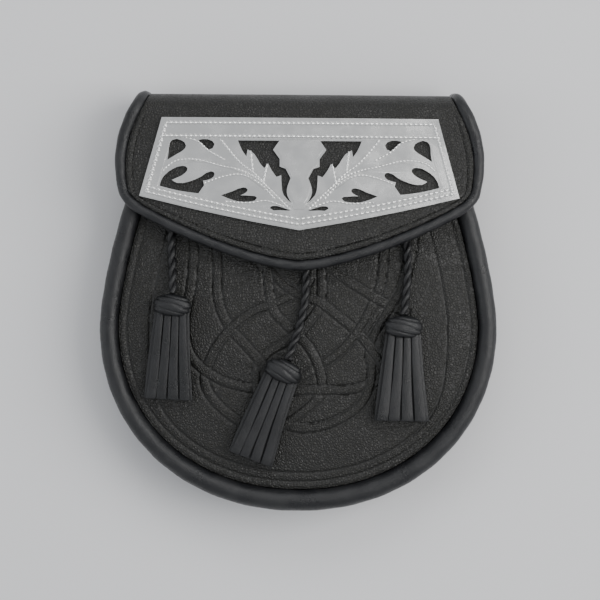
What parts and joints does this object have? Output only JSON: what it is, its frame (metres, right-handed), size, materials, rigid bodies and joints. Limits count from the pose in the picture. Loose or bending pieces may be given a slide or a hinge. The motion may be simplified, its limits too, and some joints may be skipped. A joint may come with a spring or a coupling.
{
  "type": "sporran pouch",
  "caption": "Black leather sporran pouch lying on its back: flap with a pierced thistle plaque, rolled bindings, pressed knotwork front and corded leather tassels.",
  "frame": {"origin": "on the surface that the pouch lies on, under the middle of the pouch's box without its tassels and their cords", "axes": "+Z out of the pouch's front, away from the surface; +Y towards the fold of the flap; +X to the right as seen from the front"},
  "size_m": [0.185, 0.1953, 0.0428],
  "materials": {
    "grained_leather": "pebbled, satin",
    "smooth_leather": "smooth, satin",
    "tassel_leather": "smooth, satin, glossier on the wrapped heads",
    "cord_leather": "twisted, satin",
    "plaque_metal": "cast and engraved, bright with dark recesses",
    "stud_metal": "plain"
  },
  "bodies": {
    "root": {"back_panel": "grained_leather", "strap_loop_left": "smooth_leather", "strap_loop_right": "smooth_leather", "gusset": "smooth_leather", "front_panel": "grained_leather", "body_binding": "smooth_leather", "flap": "grained_leather", "flap_binding": "smooth_leather", "plaque": "plaque_metal", "snap_stud": "stud_metal", "tassel_cord_left": "cord_leather", "tassel_cord_middle": "cord_leather", "tassel_cord_right": "cord_leather", "tassel_left": "tassel_leather", "tassel_middle": "tassel_leather", "tassel_right": "tassel_leather"}
  },
  "joints": []
}
